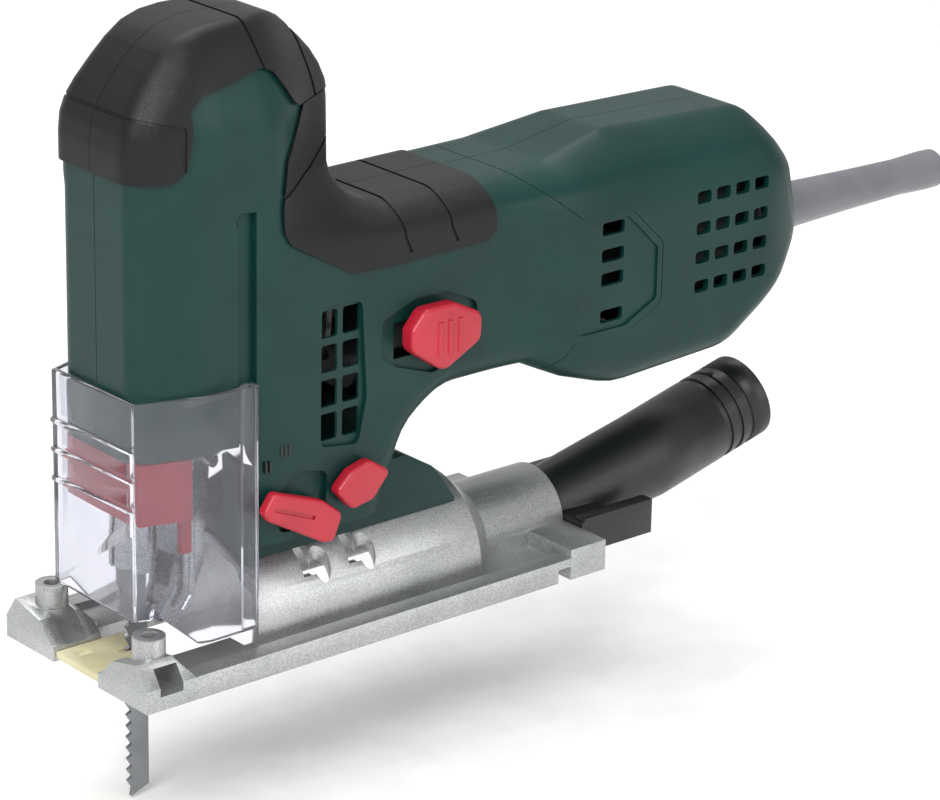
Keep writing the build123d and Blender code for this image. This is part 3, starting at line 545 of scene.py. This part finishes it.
grooves = joined(box((19.6, -60, 20), (25.8, -24.6, 146.4)),
                 box((19.6, 24.6, 20), (25.8, 60, 146.4)))
boolean(shell, grooves)
boolean(shell, box((18, -11, 36.8), (38, 11, 72.7)))

side_grille = [(49.2, 66.3, 2.5), (49.4, 111.8, 2.5), (65.2, 110.8, 2.5), (67.2, 78.8, 6),
               (64, 64.1, 2.5)]
switch_pocket = [(73, 90, 3), (73, 102, 3), (86, 107, 6), (99, 107, 4), (111.5, 101, 4),
                 (111.5, 89, 4), (94, 80.8, 5), (79, 86, 5)]
lever_fan = [(51, 40, 3), (33, 42, 3), (32, 54, 8), (40, 61, 8), (52, 58, 3)]
label_panel = [(150, 81.5, 2), (170.5, 81.5, 2), (184, 88, 2), (184, 105.5, 2),
               (170.8, 118.6, 2), (153.5, 118.6, 2)]
recesses = joined(prism(side_grille, -60, -27.2), prism(side_grille, 27.2, 60),
                  prism(switch_pocket, -60, -26.8), prism(lever_fan, -60, -26.6))
boolean(shell, recesses)
boolean(shell, joined(prism(label_panel, -60, -32.2), prism(label_panel, 32.2, 60)))


def slot_through(x, z, length, height, radius=1.0):
    """A rounded slot through both side walls."""
    u, v = length / 2, height / 2
    corners = [(x - u, z - v, radius), (x - u, z + v, radius), (x + u, z + v, radius),
               (x + u, z - v, radius)]
    return prism(corners, -60, 60, arc_step=0.5)


slots = [slot_through(x, z, 6.6, 8.8) for z in (72.0, 83.0, 94.2, 105.4) for x in (53.2, 61.8)]
slots += [slot_through(204 + 8.6 * column, z, 6.2, 4.2)
          for z in (88.0, 98.0, 108.0, 118.5) for column in range(4)]
slots += [slot_through(165, z, 9.5, 4.4) for z in (86.0, 98.5, 106.5, 115.5)]
boolean(shell, joined(*slots))
openings = joined(
    box((79, -60, 88), (104.8, -20, 100)),
    cylinder(4.6, (48.5, -30, 44.5), 30, "Y"), cylinder(4.6, (66, -30, 53), 30, "Y"),
    box((177.3, 28, 87.6), (194.7, 60, 103.4)),
    cylinder(10.8, (252, 0, 93.75), 40, "X"))
boolean(shell, openings)

screw_wells = joined(*[cylinder(3.9, (x, 40, z), 38, "Y", 32)
                       for x, z in ((44, 62), (14, 180), (148, 84))],
                     cylinder(3.9, (50, 31.7, 168), 38, "Y", 32),
                     cylinder(3.9, (190, 47, 70), 38, "Y", 32),
                     cylinder(3.9, (190, 42, 133), 38, "Y", 32))
boolean(shell, screw_wells)
boolean(shell, shaped(CORE_OUTLINE, inset=WALL))

# %% [markdown]
# The body is parted where the real one is: along the middle plane, and along the seam where
# the motor shells meet the front shells.  That seam runs round the label panel, so the front
# moulding reaches back as a tongue.  Each piece stops short of the next by 0.3 mm, which gives
# the fine dark line seen on any clamshell.

# %% Part the shell into four mouldings
SEAM = [(138, 50), (140, 70), (150, 79.5, 2), (172, 79.5, 4), (186, 86, 4), (186, 107, 4),
        (172, 120.5, 4), (152, 120.5, 4), (112, 152)]


def in_front_of_seam(shift):
    """A prism over everything forward of the seam."""
    seam = [(point[0] + shift, *point[1:]) for point in SEAM]
    return prism([(-90, 0), (138 + shift, 0), *seam, (112 + shift, 240), (-90, 240)], -90, 90)


halves = {"left": box((-90, -90, 0), (400, -0.12, 240)),
          "right": box((-90, 0.12, 0), (400, 90, 240))}
for side, half in halves.items():
    front = as_object("front_shell_" + side + "_skin", bmesh.new())
    front.data = shell.data.copy()
    boolean(front, half.copy(), "INTERSECT")
    rear = as_object("rear_shell_" + side + "_skin", bmesh.new())
    rear.data = front.data.copy()
    boolean(front, in_front_of_seam(0), "INTERSECT")
    boolean(rear, in_front_of_seam(0.3), "DIFFERENCE")
    half.free()
    finish_piece(front, "housing", green_nylon, ["front_shell_" + side])
    finish_piece(rear, "housing", green_nylon, ["rear_shell_" + side])
bpy.data.objects.remove(shell)

# %% [markdown]
# The cap and the grip are a soft rubber moulded over the hard shell.  Each is the body's own
# shape grown by the rubber's thickness, kept only inside its outline and hollowed by the body.

# %% Rubber cap and grip
CAP_EDGE = [(-60, 160.6), (-4, 159.7, 3), (0.8, 162.8, 3), (2.9, 175.4), (2.9, 181, 3),
            (7.5, 184.8, 3), (30, 189.2, 4), (35, 187.4, 4), (43.8, 176, 3), (47, 174.2, 2),
            (90, 174.2), (90, 230), (-60, 230)]
GRIP_EDGE = [(38.1, 159.6, 3), (35, 143.9), (35.1, 138, 3), (37.3, 134.1, 3), (60.8, 120.4, 8),
             (77.4, 119.9, 5), (114.2, 120.5, 3), (118, 123.5, 2), (117.2, 150, 2), (90, 150),
             (90, 173.6), (50, 173.6)]
CREASES = {
    "cap_rubber": [
        [(-20, 180.4), (-20, 181.6), (1.0, 176.4), (0.4, 158), (-0.8, 158), (-0.4, 175.4)],
        [(27, 210), (28.2, 210), (30.2, 196), (32.6, 186), (31.4, 186), (29, 196)],
        [(48, 210), (49.4, 210), (56, 190), (58.4, 172), (57.2, 172), (54.8, 190)]],
    "grip_rubber": [
        [(80.5, 145), (81.7, 145), (81.7, 128), (84.2, 123), (82.8, 123), (80.5, 127.6)],
        [(99.0, 145), (100.2, 145), (100.2, 128), (102.7, 123), (101.3, 123), (99.0, 127.6)],
        [(30, 147), (30, 148.2), (54, 153.6), (76, 165), (76, 163.8), (54, 152.4)]],
}
for name, edge, skin in (("cap_rubber", CAP_EDGE, 1.5), ("grip_rubber", GRIP_EDGE, 1.1)):
    whole = as_object("whole", shaped(SKIN_OUTLINE, inset=-skin))
    creases = as_object("creases", joined(*[prism(line, -60, 60) for line in CREASES[name]]))
    boolean(creases, shaped(SKIN_OUTLINE, inset=-skin + 0.55))
    crease_bm = bmesh.new()
    crease_bm.from_mesh(creases.data)
    boolean(whole, crease_bm)
    bpy.data.objects.remove(creases)
    boolean(whole, prism(edge, -60, 60), "INTERSECT")
    boolean(whole, shaped(SKIN_OUTLINE, inset=-0.06))
    for side, half in (("left", box((-90, -90, 0), (400, -0.1, 240))),
                       ("right", box((-90, 0.1, 0), (400, 90, 240)))):
        piece = as_object(name + "_" + side + "_skin", bmesh.new())
        piece.data = whole.data.copy()
        boolean(piece, half, "INTERSECT")
        finish_piece(piece, "housing", rubber_skin, [name + "_" + side])
    bpy.data.objects.remove(whole)

# %% [markdown]
# ## Pieces finished from the frame's own shape
# Nothing leaves a mould or a fettling bench with knife edges.  Where the frame's shape is
# already right, a copy of it is welded, its flat faces are merged, and its sharp edges are
# rounded by the small radius that the process leaves.

# %% A copy of a node with its edges rounded
def softened(node, width, name=None, segments=2, sharp=28):
    """The node's mesh copied, cleaned and edge-rounded, in a new object."""
    bm = bmesh.new()
    bm.from_mesh(frame["nodes"][node].data)
    bmesh.ops.remove_doubles(bm, verts=bm.verts, dist=0.002 * MM)
    bmesh.ops.dissolve_limit(bm, angle_limit=math.radians(0.6), verts=bm.verts,
                             edges=bm.edges, delimit={"NORMAL"})
    bevel(bm, width, segments, sharp)
    return as_object(name or node + "_skin", bm)


base = softened("base_plate", 0.45)
finish_piece(base, "base", blasted_aluminium, ["base_plate"])
saddle = softened("foot_saddle", 0.8)
finish_piece(saddle, "housing", green_nylon, ["foot_saddle"])
insert = softened("chip_insert", 0.3)
finish_piece(insert, "base", insert_nylon, ["chip_insert"])

# %% [markdown]
# The guard is a U of clear plastic.  Three raised louvre ribs across its front stiffen it and
# give the finger a hold to slide it up; each turns down at its end.

# %% Chip guard with its ribs
guard = softened("chip_guard", 0.5)
front_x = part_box("chip_guard")[0][0] / MM
rib_front = front_x - 1.3
rib_root = front_x + 0.3
rib_half_height = 0.9
hook_drop = 7
for rib_z in (76.5, 67.0, 57.5):
    rib_top = rib_z + rib_half_height
    rib = box((rib_front, -20, rib_z - rib_half_height), (rib_root, 20, rib_top))
    boolean(guard, bevel(rib, 0.5, 2), "UNION")
    hook = box((rib_front, -21.6, rib_z - hook_drop), (rib_root, -19.6, rib_top))
    boolean(guard, bevel(hook, 0.5, 2), "UNION")
finish_piece(guard, "guard", clear_polycarbonate, ["chip_guard"])

# %% [markdown]
# The release lever, the stroke selector, the blower knob and the slide switch are all moulded
# in red so the hand finds them.  The switch gets three ridges that keep the thumb from
# slipping, and the selector a slit that shows which way it points.

# %% Red controls
knob_back = -28.9
stem_radius = 3.4
stem_length = 15
stem_y = -22
lever = softened("release_lever", 0.6)
finish_piece(lever, "lever", red_nylon, ["release_lever"])
selector_outline = [(24.3, 51.6, 1.5), (28.5, 57.6, 2), (47.1, 50.7, 4), (55, 44.5, 3),
                    (51.5, 36, 2), (47.2, 36.6, 2), (26.2, 48.6, 1.5)]
selector = as_object("orbital_selector_skin",
                     bevel(prism(selector_outline, -33, knob_back), 1.1, 3))
boolean(selector, cylinder(stem_radius, (48.5, stem_y, 44.5), stem_length, "Y"), "UNION")
slit = prism([(28, 51.6), (28.5, 52.8), (44, 46.4), (43.5, 45.2)], -34, -32.3)
boolean(selector, slit)
finish_piece(selector, "selector", red_nylon, ["orbital_selector"])
blower_outline = [(51.6, 52.4, 2), (57.6, 58.0, 3), (65.1, 60, 3), (73.2, 54.6, 2),
                  (66.3, 46.6, 3), (58.1, 45.1, 3)]
blower = as_object("blower_knob_skin", bevel(prism(blower_outline, -34, knob_back), 1.3, 3))
boolean(blower, cylinder(stem_radius, (66, stem_y, 53), stem_length, "Y"), "UNION")
finish_piece(blower, "blower", red_nylon, ["blower_knob"])

button_outline = [(79.9, 99.0, 3), (85.2, 105, 4), (97.4, 105, 5), (108.4, 99.6, 4),
                  (108.2, 90.8, 4), (93.2, 83.1, 5), (80, 92.3, 4)]
button = as_object("slide_button_skin", bevel(prism(button_outline, -35.2, knob_back), 1.5, 4))
for ridge_x in (91.0, 95.0, 99.0):
    ridge = cylinder(0.9, (ridge_x, -35.0, 94.5), 11, "Z", 20)
    boolean(button, ridge, "UNION")
finish_piece(button, "switch", red_nylon, ["slide_button"])

# %% [markdown]
# The dust nozzle is a black moulding that pushes into the barrel.  Near its end three shallow
# grooves run round it, where the hose's rubber cuff grips.

# %% Dust nozzle and its grooves
nozzle = softened("dust_nozzle", 0.5)
tilt = math.radians(14.2)
end = Vector((256.5, 0, 28.1)) * MM
place = Matrix.Translation(end) @ Matrix.Rotation(-tilt, 4, "Y")
groove_floor_radius = 14.45
clear_radius = 17
for back_mm in (9.0, 14.0, 19.0):
    groove = turned([(-back_mm - 1.2, groove_floor_radius),
                     (-back_mm + 1.2, groove_floor_radius),
                     (-back_mm + 1.6, clear_radius), (-back_mm - 1.6, clear_radius)])
    bmesh.ops.transform(groove, matrix=place, verts=groove.verts)
    boolean(nozzle, groove)
finish_piece(nozzle, "nozzle", black_nylon, ["dust_nozzle"])

# %% [markdown]
# Six thread-forming screws close the clamshell from the right.  Their heads sit at the bottom
# of the wells and take a star driver.  The dark plates behind the rear air slots are an
# addition that stands in for the shade inside the housing: nothing is known of the real inside
# there, and without them light shines straight through from one side's slots to the other's.

# %% Housing screws and dark plates standing in for the shade inside
screw_places = [(44, 62, 21.3), (50, 168, 13), (14, 180, 21.3), (148, 84, 21.3),
                (190, 70, 29), (190, 133, 24)]
screws = []
for x, z, head in screw_places:
    cap_head = bevel(cylinder(3.3, (x, head + 1.2, z), 2.4, "Y", 32), 0.4, 2)
    shank = cylinder(1.8, (x, 3, z), 2 * (head - 3.2), "Y", 24)
    screws += [cap_head, shank]
screw_piece = as_object("housing_screws_skin", joined(*screws))
star = joined(*[cylinder(0.5, (x + 1.1 * math.cos(turn), head + 2.2, z + 1.1 * math.sin(turn)),
                         1.6, "Y", 12)
                for x, z, head in screw_places
                for turn in [math.radians(60 * lobe) for lobe in range(6)]])
boolean(screw_piece, star)
finish_piece(screw_piece, "housing", ground_steel, ["housing_screws"])
# Dark sheets behind the rear slots, standing in for the shade inside the housing; they are no
# filter or other known part.
plate_thickness = 1.2
for side, y in (("left", -23.0), ("right", 21.8)):
    plate_block = box((197, y, 82), (236, y + plate_thickness, 124))
    plate = as_object("air_filter_" + side, bevel(plate_block, 0.3, 1))
    finish_piece(plate, "housing", black_nylon)

# %% [markdown]
# Small raised strokes beside the selector tell its settings apart.  They carry no text and no
# symbol.

# %% Small marks beside the selector
for index, (x, z) in enumerate(((28.2, 64.5), (29.8, 64.5), (34.0, 68.5), (35.6, 68.5),
                                (37.2, 68.5))):
    mark = as_object(f"stroke_mark_{index}", bevel(box((x - 0.4, -28.9, z - 1.8),
                                                       (x + 0.4, -26.5, z + 1.8)), 0.2, 1))
    finish_piece(mark, "housing", black_nylon)
